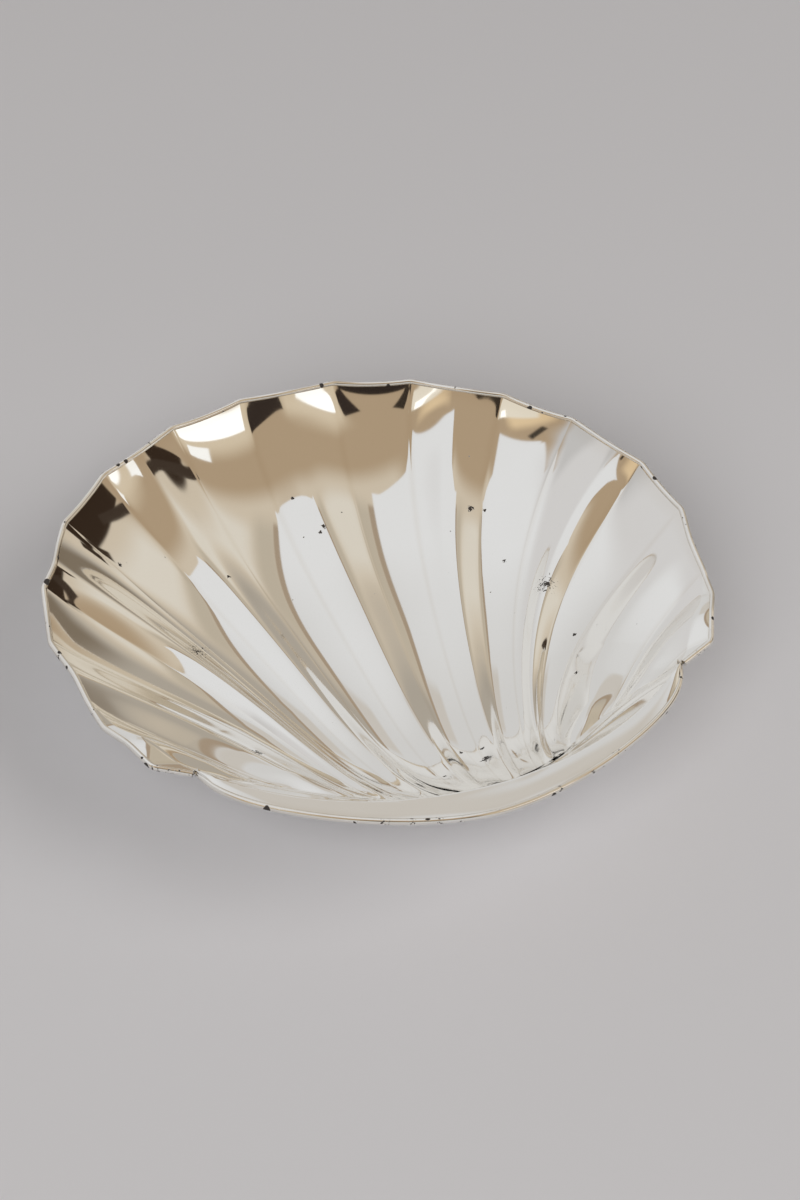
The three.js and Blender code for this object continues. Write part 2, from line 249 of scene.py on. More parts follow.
def foldLift(start, end, share, along, isRib, openLeft, openRight):
    # height over the plain bowl: a rib's crown, a channel's hollow, and the rounding in the folds
    fromX, fromY = runPoint(start, end, 0.0, along, isRib)
    toX, toY = runPoint(start, end, 1.0, along, isRib)
    width = np.hypot(toX - fromX, toY - fromY)
    x, y = runPoint(start, end, share, along, isRib)
    fromNose = along * np.hypot(x[-1] - x[0], y[-1] - y[0]) / b["ribNose"]
    nose = 1 - (1 - np.minimum(fromNose, 1)) ** 2
    soft = b["foldSoftness"] * np.minimum(width / b["foldSoftWidth"], 1) * nose
    ridge = b["ridge"]
    outer = math.hypot(1, ridge)
    middle = (start["rim"] + end["rim"]) / 2
    sideways = min(abs(middle[0]) / b["halfWidth"], 1) ** 2
    sideways *= easeIn(*b["sideZone"], middle[1] - b["widestLine"])
    towardsHinge = share if middle[0] > 0 else 1 - share
    ridgePlace = 0.5 + b["ridgeShift"] * sideways
    fromRidge = 2 * towardsHinge ** (math.log(0.5) / math.log(ridgePlace)) - 1
    rise = b["ribRise"] * (1 + b["sideRise"] * sideways) * np.tanh(width / b["ribRun"])
    rise = rise * nose * (1 - b["rimSink"] * along ** b["rimSinkPower"])
    if isRib:
        rise = rise * (outer - math.hypot(fromRidge, ridge)) / (outer - ridge)
        return (rise + np.sqrt(rise * rise + soft * soft)) / 2
    slope = 2 * rise / (np.maximum(width, 1) * b["foldSpread"] * (outer - ridge) * outer)
    hollow = b["channelSink"] * width * nose * (1 - along ** b["channelSinkPower"])
    lift = -hollow * 4 * share * (1 - share) * (not openLeft and not openRight)
    for distance, joined in ((share, not openLeft), (1 - share, not openRight)):
        if joined:
            reach = slope * distance * width
            lift += (np.sqrt(reach * reach + soft * soft) - reach) / 2
    return lift


def surfaceGrid():
    # columns of points from the hinge's edge over the crease to the fan's edge, and the folds' mask
    folds = allFolds()
    panelShare = np.linspace(0, 1, b["panelRows"], endpoint=False)
    along = np.linspace(0, 1, b["fanRows"] + 1)
    columns = []
    foldness = []
    last = len(folds) - 2
    for index in range(len(folds) - 1):
        start, end = folds[index], folds[index + 1]
        isEar = index in (0, last)
        isRib = not isEar and index % 2 == 1
        steps = b["ribSteps"] if isRib else b["channelSteps"]
        for step in range(steps + (index == last)):
            share = (1 - math.cos(math.pi * step / steps)) / 2  # closer together near the folds
            footLine = np.full_like(panelShare, mix(start["foot"], end["foot"], share))
            panelY = mix(lobeEdge(footLine), crease(footLine), panelShare)
            fromBead = (crease(footLine) - panelY - b["panelBeadPlace"]) / b["panelBeadWidth"]
            crown = b["panelBulge"] * (1 - (2 * panelShare - 1) ** 2)
            crown += b["panelBead"] * np.exp(-(fromBead ** 2))
            panel = np.stack([footLine, panelY, bowlHeight(footLine, panelY) + crown], -1)
            x, y = runPoint(start, end, share, along, isRib)
            lift = foldLift(start, end, share, along, isRib, index == 0, index == last)
            fan = np.stack([x, y, bowlHeight(x, y)], -1) + bowlNormal(x, y) * lift[:, None]
            columns.append(np.concatenate([panel, fan]))
            fromFold = min(share, 1 - share) * fullRibWidth / b["foldTarnishReach"]
            nearFold = np.exp(-(fromFold ** 2)) * (not isEar)
            noFold = np.zeros_like(panelShare)
            foldness.append(np.concatenate([noFold, np.full_like(along, nearFold)]))
    grid = np.array(columns)
    grid[0] = grid[0, -1]
    grid[-1] = grid[-1, -1]
    return grid, np.array(foldness)


def gridNormals(grid):
    across = np.gradient(grid, axis=0)
    along = np.gradient(grid, axis=1)
    along[0], along[-1] = along[1], along[-2]
    normal = np.cross(across, along)
    normal /= np.linalg.norm(normal, axis=-1, keepdims=True) + 1e-12
    normal[0], normal[-1] = normal[1, -1], normal[-2, -1]
    return normal


def meshPiece(name, points, faces, smoothAngle=None):
    data = bpy.data.meshes.new(name)
    data.from_pydata(np.asarray(points).tolist(), [], faces)
    data.validate()
    data.polygons.foreach_set("use_smooth", [True] * len(data.polygons))
    if smoothAngle:
        data.set_sharp_from_angle(angle=math.radians(smoothAngle))
    data.update()
    piece = bpy.data.objects.new(name, data)
    scene.collection.objects.link(piece)
    return piece


def onTheDish(points):
    return (np.asarray(points) + b["basePlace"]) * mm


def closedShell(grid, normals):
    # inside and outside surface, joined all round the edge; the end columns are one point each
    columnCount, rowCount = grid.shape[:2]
    inner = columnCount - 2
    size = 2 + inner * rowCount
    under = grid - normals * b["sheet"]
    points = []
    for layer in (grid, under):
        points += [layer[0, 0], layer[-1, 0]]
        points.extend(layer[1:-1].reshape(-1, 3))

    def number(column, row, layer=0):
        if column == 0:
            return layer * size
        if column == columnCount - 1:
            return layer * size + 1
        return layer * size + 2 + (column - 1) * rowCount + row

    def face(*corners):
        kept = [corner for place, corner in enumerate(corners) if corner != corners[place - 1]]
        if len(kept) > 2:
            faces.append(kept)

    faces = []
    far = rowCount - 1
    for column in range(columnCount - 1):
        after = column + 1
        for row in range(rowCount - 1):
            corners = [(column, row), (after, row), (after, row + 1), (column, row + 1)]
            face(*(number(*corner) for corner in corners))
            face(*(number(*corner, 1) for corner in reversed(corners)))
        face(number(column, 0, 1), number(after, 0, 1), number(after, 0), number(column, 0))
        face(number(after, far, 1), number(column, far, 1), number(column, far), number(after, far))
    return points, faces


def sharpenRow(piece, row, rowCount, columnCount):
    # a crisp line along one row of the grid, on both sides of the sheet
    size = 2 + (columnCount - 2) * rowCount
    ends = np.empty(len(piece.data.edges) * 2, dtype=int)
    piece.data.edges.foreach_get("vertices", ends)
    rows = (ends.reshape(-1, 2) % size - 2) % rowCount
    inside = (ends.reshape(-1, 2) % size >= 2).all(axis=1)
    for edge in np.flatnonzero((rows == row).all(axis=1) & inside):
        piece.data.edges[int(edge)].use_edge_sharp = True


def valuePerVertex(piece, name, layer):
    # a value for each point of the grid, the same on both sides of the sheet
    flat = np.concatenate([[layer[0, -1], layer[-1, -1]], layer[1:-1].ravel()])
    attribute = piece.data.attributes.new(name, "FLOAT", "POINT")
    attribute.data.foreach_set("value", np.concatenate([flat, flat]))


grid, foldness = surfaceGrid()
normals = gridNormals(grid)
shellPoints, shellFaces = closedShell(grid, normals)
shellBowl = meshPiece("fluted_bowl", onTheDish(shellPoints), shellFaces, b["smoothAngle"])
sharpenRow(shellBowl, b["panelRows"], grid.shape[1], grid.shape[0])
valuePerVertex(shellBowl, "foldNearness", foldness)
rowNumbers = np.arange(grid.shape[1])
rowsFromRim = np.minimum(rowNumbers, rowNumbers[::-1])
nearRim = np.exp(-((rowsFromRim / b["rimTarnishRows"]) ** 2))
valuePerVertex(shellBowl, "rimNearness", np.broadcast_to(nearRim, grid.shape[:2]))
print("bowl made,", len(shellBowl.data.polygons), "faces")


# Border wires, soldered against the edge of the sheet.
wireValues = {
    "diameter": 1.8,
    "sides": 18,
    "bite": 0.15,  # how far the wire is let into the sheet's edge
    "step": 0.6,
    "cornerRounding": 3,  # how often the corners are smoothed
    "smoothAngle": 60,
}


def tubeAlong(points, outward, radius, sides):
    forward = np.gradient(points, axis=0)
    forward /= np.linalg.norm(forward, axis=1, keepdims=True)
    side = outward - forward * (outward * forward).sum(1, keepdims=True)
    side /= np.linalg.norm(side, axis=1, keepdims=True)
    up = np.cross(side, forward)
    turns = 2 * math.pi * np.arange(sides) / sides
    rings = points[:, None] + radius * (
        np.cos(turns)[None, :, None] * side[:, None] + np.sin(turns)[None, :, None] * up[:, None]
    )
    faces = []
    for ring in range(len(points) - 1):
        for place in range(sides):
            after = (place + 1) % sides
            corners = (place, sides + place, sides + after, after)
            faces.append([ring * sides + corner for corner in corners])
    faces.append(list(range(sides)))
    faces.append([(len(points) - 1) * sides + place for place in range(sides)][::-1])
    return rings.reshape(-1, 3), faces


def evenly(points, outward):
    # steps of one length along the wire, its corners rounded off by the bending
    spans = np.linalg.norm(np.diff(points, axis=0), axis=1)
    lengths = np.concatenate([[0], np.cumsum(spans)])
    places = np.linspace(0, lengths[-1], int(lengths[-1] / wireValues["step"]))
    even = np.stack([np.interp(places, lengths, points[:, axis]) for axis in range(3)], -1)
    side = np.stack([np.interp(places, lengths, outward[:, axis]) for axis in range(3)], -1)
    for _ in range(wireValues["cornerRounding"]):
        even[1:-1] = (even[:-2] + 2 * even[1:-1] + even[2:]) / 4
        side[1:-1] = (side[:-2] + 2 * side[1:-1] + side[2:]) / 4
    return even, side


def wirePiece(name, row, nextRow):
    edge = grid[1:-1, row] - normals[1:-1, row] * b["sheet"] / 2
    outward = grid[1:-1, row] - grid[1:-1, nextRow]
    along = np.gradient(grid[:, row], axis=0)[1:-1]
    along /= np.linalg.norm(along, axis=1, keepdims=True)
    outward -= along * (outward * along).sum(1, keepdims=True)
    outward /= np.linalg.norm(outward, axis=1, keepdims=True)
    reach = wireValues["diameter"] / 2 - wireValues["bite"]
    points, outward = evenly(edge + outward * reach, outward)
    tube, faces = tubeAlong(points, outward, wireValues["diameter"] / 2, wireValues["sides"])
    return meshPiece(name, onTheDish(tube), faces, wireValues["smoothAngle"])


fanWire = wirePiece("border_wire_of_the_fan", -1, -2)
hingeWire = wirePiece("border_wire_of_the_hinge", 0, 1)
print("border wires made")


# Feet: a soldered pad under the bowl and a turned ball on it. Lengths in mm, angles in radians.
footValues = {
    "ball": 10.0,
    "sole": 4.2,
    "soleRings": (0.55, 0.9),  # as shares of the sole's radius
    "soleBreak": 0.02,  # angle from the sole's rim to the ball's first ring
    "neck": 3.7,
    "neckBreak": 0.12,  # angle from the ball's last ring to the neck
    "neckWaist": 0.35,  # where the neck is thinnest, as a share of its height
    "neckFillet": 0.4,
    "ballRings": 34,
    "filletRings": 7,
    "segments": 64,
    "smoothAngle": 35,
}


def turned(profile, centre, segments):
    # profile of (radius, height) from the bottom up, spun round the vertical through centre
    turns = 2 * math.pi * np.arange(segments) / segments
    points = []
    for radius, height in profile:
        across, along = np.cos(turns) * radius, np.sin(turns) * radius
        points.extend(np.stack([across, along, np.full(segments, height)], -1) + centre)
    faces = [list(range(segments))[::-1]]
    for ring in range(len(profile) - 1):
        for place in range(segments):
            after = (place + 1) % segments
            corners = (place, after, segments + after, segments + place)
            faces.append([ring * segments + corner for corner in corners])
    faces.append([(len(profile) - 1) * segments + place for place in range(segments)])
    return np.array(points), faces


def ballFoot(side):
    low, high = (np.array(corner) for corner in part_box(f"ball_foot_{side}"))
    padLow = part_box(f"foot_pad_{side}")[0][2]
    v = footValues
    radius = v["ball"] * mm / 2
    soleTurn = math.asin(v["sole"] / v["ball"])
    middle = radius * math.cos(soleTurn)
    neckRadius = v["neck"] * mm / 2
    neckTurn = math.pi - math.asin(v["neck"] / v["ball"])
    profile = [(v["sole"] * mm / 2 * share, 0.0) for share in v["soleRings"]]
    ballStart, ballEnd = soleTurn + v["soleBreak"], neckTurn - v["neckBreak"]
    for turn in np.linspace(ballStart, ballEnd, v["ballRings"]):
        profile.append((radius * math.sin(turn), middle - radius * math.cos(turn)))
    top = padLow - low[2]
    fillet = v["neckFillet"] * mm
    neckStart = middle - radius * math.cos(neckTurn)
    profile.append((neckRadius, mix(neckStart, top, v["neckWaist"])))
    for turn in np.linspace(0, math.pi / 2, v["filletRings"]):
        out, up = fillet * (1 - math.cos(turn)), fillet * (1 - math.sin(turn))
        profile.append((neckRadius + out, top - up))
    centre = np.array([(low[0] + high[0]) / 2, (low[1] + high[1]) / 2, low[2]])
    points, faces = turned(profile, centre, v["segments"])
    return meshPiece(f"turned_ball_foot_{side}", points, faces, v["smoothAngle"])


padValues = {
    "bottomRings": (0.3, 0.7),  # as shares of the pad's radius
    "edge": 0.35,  # rounding of the lower edge
    "edgeRings": 6,
    "flare": 0.5,  # how far the solder runs out round the pad
    "flareRings": ((0.0, 0.7), (0.25, 0.35), (1.0, 0.0)),  # share of the flare, mm under the sheet
    "bite": 0.05,  # how far the top reaches into the sheet
    "segments": 64,
    "smoothAngle": 40,
}


underside = BVHTree.FromObject(shellBowl, bpy.context.evaluated_depsgraph_get())


def undersideAt(x, y):
    hit = underside.ray_cast(Vector((x, y, 0)), Vector((0, 0, 1)))
    return hit[0].z


def footPad(side):
    low, high = (np.array(corner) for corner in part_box(f"foot_pad_{side}"))
    v = padValues
    centreX, centreY = (low[:2] + high[:2]) / 2
    radius = (high[0] - low[0]) / 2
    edge = v["edge"] * mm
    segments = v["segments"]
    profile = [(radius * share, low[2]) for share in v["bottomRings"]]
    for turn in np.linspace(0, math.pi / 2, v["edgeRings"]):
        out, up = edge * (1 - math.sin(turn)), edge * (1 - math.cos(turn))
        profile.append((radius - out, low[2] + up))
    first = len(profile) * segments
    profile += [(radius, 0.0)] * len(v["flareRings"])  # put in their places below
    points, faces = turned(profile, np.array([centreX, centreY, 0.0]), segments)
    for ring, (flare, below) in enumerate(v["flareRings"]):
        for place in range(segments):
            turn = 2 * math.pi * place / segments
            reach = radius + v["flare"] * mm * flare
            x = centreX + reach * math.cos(turn)
            y = centreY + reach * math.sin(turn)
            height = undersideAt(x, y) - below * mm + v["bite"] * mm
            points[first + ring * segments + place] = (x, y, height)
    return meshPiece(f"soldered_pad_{side}", points, faces, v["smoothAngle"])


ballFeet = {side: ballFoot(side) for side in ("hinge", "left", "right")}
footPads = {side: footPad(side) for side in ("hinge", "left", "right")}
print("feet made")


# Finishes: one silver, worn in four ways. First what all the node trees share.
def addNode(tree, kind, inputs=None, **settings):
    made = tree.nodes.new("ShaderNode" + kind)
    for name, value in settings.items():
        setattr(made, name, value)
    for name, value in (inputs or {}).items():
        socket = made.inputs[name]
        if isinstance(value, bpy.types.NodeSocket):
            tree.links.new(value, socket)
        else:
            socket.default_value = value
    return made


def mathNode(tree, operation, first, second=None):
    inputs = {0: first} if second is None else {0: first, 1: second}
    return addNode(tree, "Math", inputs, operation=operation).outputs[0]


def mixColour(tree, share, first, second):
    inputs = {0: share, 6: first, 7: second}  # 6 and 7 are the colour sockets of the Mix node
    return addNode(tree, "Mix", inputs, data_type="RGBA").outputs[2]


def softRange(tree, value, low, high):
    inputs = {"Value": value, "From Min": low, "From Max": high}
    return addNode(tree, "MapRange", inputs, interpolation_type="SMOOTHSTEP").outputs[0]


def effectGroup(name, inputs, outputs):
    # inputs are given with their usual numbers, or None for a vector; outputs are numbers
    group = bpy.data.node_groups.new(name, "ShaderNodeTree")
    for label, usual in inputs.items():
        kind = "NodeSocketVector" if usual is None else "NodeSocketFloat"
        socket = group.interface.new_socket(label, in_out="INPUT", socket_type=kind)
        if usual is not None:
            socket.default_value = usual
    for label in outputs:
        group.interface.new_socket(label, in_out="OUTPUT", socket_type="NodeSocketFloat")
    given = group.nodes.new("NodeGroupInput").outputs
    result = group.nodes.new("NodeGroupOutput").inputs
    return group, given, result


polishValues = {
    "waveDetail": 1.0,
    "waveRoughness": 0.4,
    "hairs": [  # two crossing directions of hairlines: turn, stretch
        ((0.3, 0.5, 0.9), (300.0, 4200.0, 900.0)),
        ((1.1, 0.2, 2.2), (5200.0, 260.0, 1100.0)),
    ],
    "hairHeight": 0.03,  # next to the waves
    "hazePatches": 35.0,
    "evenHaze": 0.5,  # haze between the hairlines
}


def polishGroup(values):
    # broad unevenness of hand-polished sheet, and the fine hairlines of years of rubbing
    usual = {"Vector": None, "Wave Size": 60.0, "Hairlines": 1.0}
    group, given, result = effectGroup("polishing marks", usual, ["Height", "Haze"])
    waves = addNode(group, "TexNoise", {
        "Vector": given["Vector"], "Scale": given["Wave Size"],
        "Detail": values["waveDetail"], "Roughness": values["waveRoughness"],
    })
    hairs = []
    for turn, stretch in values["hairs"]:
        way = {"Vector": given["Vector"], "Rotation": turn, "Scale": stretch}
        stretched = addNode(group, "Mapping", way).outputs[0]
        hairs.append(addNode(group, "TexNoise", {"Vector": stretched, "Scale": 1.0, "Detail": 2.0}))
    both = mathNode(group, "MULTIPLY", hairs[0].outputs["Fac"], hairs[1].outputs["Fac"])
    lines = mathNode(group, "MULTIPLY", both, given["Hairlines"])
    lineHeight = mathNode(group, "MULTIPLY", lines, values["hairHeight"])
    height = mathNode(group, "ADD", waves.outputs["Fac"], lineHeight)
    group.links.new(height, result["Height"])
    patches = {"Vector": given["Vector"], "Scale": values["hazePatches"], "Detail": 4.0}
    patchy = addNode(group, "TexNoise", patches).outputs["Fac"]
    haze = mathNode(group, "MULTIPLY", patchy, mathNode(group, "ADD", lines, values["evenHaze"]))
    group.links.new(haze, result["Haze"])
    return group


speckValues = {
    "raggedness": 0.2,
    "raggedScale": 900.0,
    "rareness": 3.0,  # the higher, the fewer specks are large
    "edge": (-0.01, 0.02),  # soft border
}


def speckGroup(values):
    # small pits where the plating has gone and the metal under it has darkened
    usual = {"Vector": None, "Spacing": 90.0, "Size": 0.12, "Where": 1.0}
    group, given, result = effectGroup("worn specks", usual, ["Mask"])
    noise = {"Vector": given["Vector"], "Scale": values["raggedScale"], "Detail": 3.0}
    ragged = addNode(group, "TexNoise", noise).outputs["Fac"]
    cells = addNode(group, "TexVoronoi", {"Vector": given["Vector"], "Scale": given["Spacing"]})
    chance = addNode(group, "SeparateColor", {"Color": cells.outputs["Color"]}).outputs[0]
    rare = mathNode(group, "POWER", chance, values["rareness"])
    limit = mathNode(group, "MULTIPLY", rare, given["Size"])
    limit = mathNode(group, "MULTIPLY", limit, given["Where"])
    ragged = mathNode(group, "SUBTRACT", ragged, 0.5)
    ragged = mathNode(group, "MULTIPLY", ragged, values["raggedness"])
    distance = mathNode(group, "ADD", cells.outputs["Distance"], ragged)
    mask = addNode(group, "MapRange", {
        "Value": mathNode(group, "SUBTRACT", limit, distance),
        "From Min": values["edge"][0], "From Max": values["edge"][1],
    })
    group.links.new(mask.outputs[0], result["Mask"])
    return group


chipValues = {
    "pitsFrom": (0.72, 0.78),  # noise level between which a pit begins
    "border": 0.1,  # soft border, as a share of the radius
}


def chipGroup(values):
    # one ragged patch of pits at a given place
    usual = {"Vector": None, "Place": None, "Grain": 0.5, "Radius": 0.002, "Fullness": 0.5}
    group, given, result = effectGroup("chipped place", usual, ["Mask"])
    ends = {0: given["Vector"], 1: given["Place"]}
    away = addNode(group, "VectorMath", ends, operation="DISTANCE").outputs["Value"]
    near = mathNode(group, "SUBTRACT", 1.0, mathNode(group, "DIVIDE", away, given["Radius"]))
    level = mathNode(group, "MULTIPLY", near, given["Fullness"])
    level = mathNode(group, "ADD", level, given["Grain"])
    low, high = values["pitsFrom"]
    mask = addNode(group, "MapRange", {"Value": level, "From Min": low, "From Max": high})
    inside = {"Value": near, "From Min": 0.0, "From Max": values["border"]}
    inside = addNode(group, "MapRange", inside).outputs[0]
    group.links.new(mathNode(group, "MULTIPLY", mask.outputs[0], inside), result["Mask"])
    return group


polishMarks = polishGroup(polishValues)
wornSpecks = speckGroup(speckValues)
chippedPlace = chipGroup(chipValues)

silverValues = {
    "silver": (0.93, 0.915, 0.885, 1.0),
    "tarnish": (0.62, 0.52, 0.38, 1.0),
    "pit": (0.035, 0.03, 0.028, 1.0),
    "pitRoughness": 0.5,
    "foldTarnish": 0.25,
    "veilScale": 28.0,
    "veilRange": (0.35, 0.8),  # noise level over which the tarnish sets in
    "grainScale": 1500.0,
    "specksInside": 0.1,  # size of the specks away from the rim, next to those on it
}


def silverMaterial(name, values, wear, fromFolds):
    material = bpy.data.materials.new(name)
    material.use_nodes = True
    tree = material.node_tree
    shader = tree.nodes["Principled BSDF"]
    place = addNode(tree, "TexCoord").outputs["Object"]
    marks = {"Vector": place, "Wave Size": wear["waves"], "Hairlines": wear["hairlines"]}
    polish = addNode(tree, "Group", marks, node_tree=polishMarks)
    veil = {"Vector": place, "Scale": values["veilScale"], "Detail": 5.0, "Roughness": 0.6}
    veil = addNode(tree, "TexNoise", veil).outputs["Fac"]
    low, high = values["veilRange"]
    tarnish = {"Value": veil, "From Min": low, "From Max": high, "To Max": wear["tarnish"]}
    tarnish = addNode(tree, "MapRange", tarnish).outputs[0]
    where = 1.0
    if fromFolds:
        nearFold = addNode(tree, "Attribute", attribute_name="foldNearness").outputs["Fac"]
        nearRim = addNode(tree, "Attribute", attribute_name="rimNearness").outputs["Fac"]
        soiled = mathNode(tree, "MAXIMUM", nearFold, nearRim)
        soiled = mathNode(tree, "MULTIPLY", soiled, values["foldTarnish"])
        soiled = mathNode(tree, "MULTIPLY", soiled, veil)
        tarnish = mathNode(tree, "MAXIMUM", tarnish, soiled)
        where = mathNode(tree, "MULTIPLY", nearRim, 1 - values["specksInside"])
        where = mathNode(tree, "ADD", where, values["specksInside"])
    specks = {"Vector": place, "Spacing": wear["spacing"], "Size": wear["specks"], "Where": where}
    pits = addNode(tree, "Group", specks, node_tree=wornSpecks).outputs["Mask"]
    grain = {"Vector": place, "Scale": values["grainScale"], "Detail": 2.0}
    grain = addNode(tree, "TexNoise", grain).outputs["Fac"]
    for spot, radius, fullness in wear.get("chips", []):
        chip = addNode(tree, "Group", node_tree=chippedPlace, inputs={
            "Vector": place, "Grain": grain, "Place": [length * mm for length in spot],
            "Radius": radius * mm, "Fullness": fullness,
        })
        pits = mathNode(tree, "MAXIMUM", pits, chip.outputs["Mask"])
    clean = mixColour(tree, tarnish, values["silver"], values["tarnish"])
    colour = mixColour(tree, pits, clean, values["pit"])
    tree.links.new(colour, shader.inputs["Base Color"])
    metal = addNode(tree, "MapRange", {"Value": pits, "To Min": 1.0, "To Max": 0.0})
    tree.links.new(metal.outputs[0], shader.inputs["Metallic"])
    haze = mathNode(tree, "MULTIPLY", polish.outputs["Haze"], wear["haze"])
    rough = mathNode(tree, "ADD", haze, wear["gloss"])
    rough = mathNode(tree, "ADD", rough, mathNode(tree, "MULTIPLY", pits, values["pitRoughness"]))
    tree.links.new(rough, shader.inputs["Roughness"])
    height = mathNode(tree, "SUBTRACT", polish.outputs["Height"], pits)
    relief = {"Height": height, "Distance": wear["unevenness"], "Strength": 1.0}
    bump = addNode(tree, "Bump", relief)
    tree.links.new(bump.outputs["Normal"], shader.inputs["Normal"])
    return material


# How worn each piece is. Waves and spacing are noise scales, so a higher number is finer. A chip
# has its place and radius in mm, and how full of pits it is.
bowlWear = {
    "waves": 55.0, "hairlines": 1.0, "haze": 0.05, "gloss": 0.03, "unevenness": 0.00002,
    "tarnish": 0.05, "spacing": 130.0, "specks": 0.16,
    "chips": [
        ((-0.5, 58.3, 17.3), 1.3, 0.5), ((-2.3, 56.6, 16.7), 1.1, 0.5),
        ((-7.1, 71.4, 20.3), 1.0, 0.5), ((45.7, 50.1, 19.3), 1.7, 0.5),
        ((50.0, 48.7, 18.6), 1.0, 0.5), ((49.4, 27.9, 14.7), 1.1, 0.5),
        ((55.7, 8.0, 19.3), 5.0, 0.3), ((56.8, -14.4, 17.6), 1.1, 0.5),
        ((49.9, -34.1, 21.1), 1.1, 0.5), ((-35.9, 44.2, 17.4), 1.1, 0.5),
        ((-68.4, 49.8, 26.4), 1.2, 0.5), ((-53.6, 14.6, 16.7), 6.5, 0.27),
        ((-50.1, -40.8, 24.4), 3.0, 0.4), ((11.7, -62.1, 23.2), 2.8, 0.45),
        ((12.9, -55.4, 20.6), 1.1, 0.5), ((-2.9, -67.6, 25.7), 1.0, 0.5),
        ((6.9, -53.4, 18.9), 1.1, 0.5),
    ],
}
wireWear = {
    "waves": 90.0, "hairlines": 1.5, "haze": 0.12, "gloss": 0.08, "unevenness": 0.00003,
    "tarnish": 0.35, "spacing": 330.0, "specks": 0.40,
    "chips": [
        ((-94.3, 34.0, 39.5), 2.6, 0.35), ((-95.6, 30.1, 39.3), 1.4, 0.34),
        ((-97.6, 19.8, 38.6), 1.5, 0.34), ((-99.0, 10.0, 38.6), 1.5, 0.34),
        ((-98.2, -0.9, 38.9), 2.6, 0.35), ((-96.0, -10.0, 39.2), 1.5, 0.34),
        ((-94.6, -22.2, 38.9), 1.7, 0.34), ((-94.0, -25.9, 38.8), 1.9, 0.34),
        ((-93.0, -30.6, 39.2), 1.9, 0.34), ((-83.6, -53.6, 40.2), 2.2, 0.34),
        ((-79.0, -55.6, 39.6), 1.9, 0.34), ((-73.4, -58.4, 38.8), 2.0, 0.34),
        ((-28.9, -94.0, 41.6), 2.2, 0.34), ((-22.3, -96.5, 41.8), 1.9, 0.34),
        ((-15.1, -98.8, 41.8), 2.2, 0.34), ((-9.2, -100.2, 41.9), 1.9, 0.34),
        ((20.2, -97.4, 41.6), 2.2, 0.34), ((31.2, -93.2, 41.2), 1.5, 0.34),
        ((34.8, -91.4, 40.9), 1.5, 0.34), ((39.9, -88.8, 40.8), 1.9, 0.34),
        ((42.9, -87.2, 40.7), 1.4, 0.34), ((69.8, -64.4, 40.5), 1.5, 0.34),
        ((78.4, -56.0, 39.6), 1.9, 0.34), ((80.0, -55.2, 39.7), 1.5, 0.34),
        ((95.4, -16.6, 39.3), 1.4, 0.34), ((98.0, 15.0, 39.0), 1.5, 0.34),
        ((52.4, 85.4, 40.0), 1.4, 0.34),
    ],
}
footWear = {
    "waves": 120.0, "hairlines": 1.5, "haze": 0.12, "gloss": 0.07, "unevenness": 0.00002,
    "tarnish": 0.15, "spacing": 200.0, "specks": 0.2,
}
padWear = {
    "waves": 150.0, "hairlines": 2.0, "haze": 0.25, "gloss": 0.14, "unevenness": 0.00004,
    "tarnish": 0.35, "spacing": 220.0, "specks": 0.3,
}

bowlSilver = silverMaterial("mirror silver plate", silverValues, bowlWear, True)
wireSilver = silverMaterial("rubbed silver wire", silverValues, wireWear, False)
footSilver = silverMaterial("turned silver feet", silverValues, footWear, False)
padSilver = silverMaterial("soldered silver pads", silverValues, padWear, False)

for piece, material in [(shellBowl, bowlSilver), (fanWire, wireSilver), (hingeWire, wireSilver)]:
    piece.data.materials.append(material)
for side in ballFeet:
    ballFeet[side].data.materials.append(footSilver)
    footPads[side].data.materials.append(padSilver)
print("finishes made")


# The floor: pale paper with faint blotches.
floorValues = {
    "colour": (0.715, 0.715, 0.745, 1.0),
    "reach": 4.0,
    "blotchScale": 3.0,
    "blotchShade": 0.97,
    "roughness": 0.9,
    "glint": 0.2,
}


def makeFloor(values):
    reach = values["reach"]
    points = [(x * reach, y * reach, 0.0) for x, y in ((-1, -1), (1, -1), (1, 1), (-1, 1))]
    floor = meshPiece("studio floor", points, [[0, 1, 2, 3]])
    material = bpy.data.materials.new("pale paper")
    material.use_nodes = True
    tree = material.node_tree
    shader = tree.nodes["Principled BSDF"]
    place = addNode(tree, "TexCoord").outputs["Object"]
    blotches = {"Vector": place, "Scale": values["blotchScale"], "Detail": 2.0}
    blotches = addNode(tree, "TexNoise", blotches).outputs["Fac"]
    darker = (*(channel * values["blotchShade"] for channel in values["colour"][:3]), 1.0)
    colour = mixColour(tree, blotches, values["colour"], darker)
    tree.links.new(colour, shader.inputs["Base Color"])
    shader.inputs["Roughness"].default_value = values["roughness"]
    shader.inputs["Specular IOR Level"].default_value = values["glint"]
    floor.data.materials.append(material)


makeFloor(floorValues)

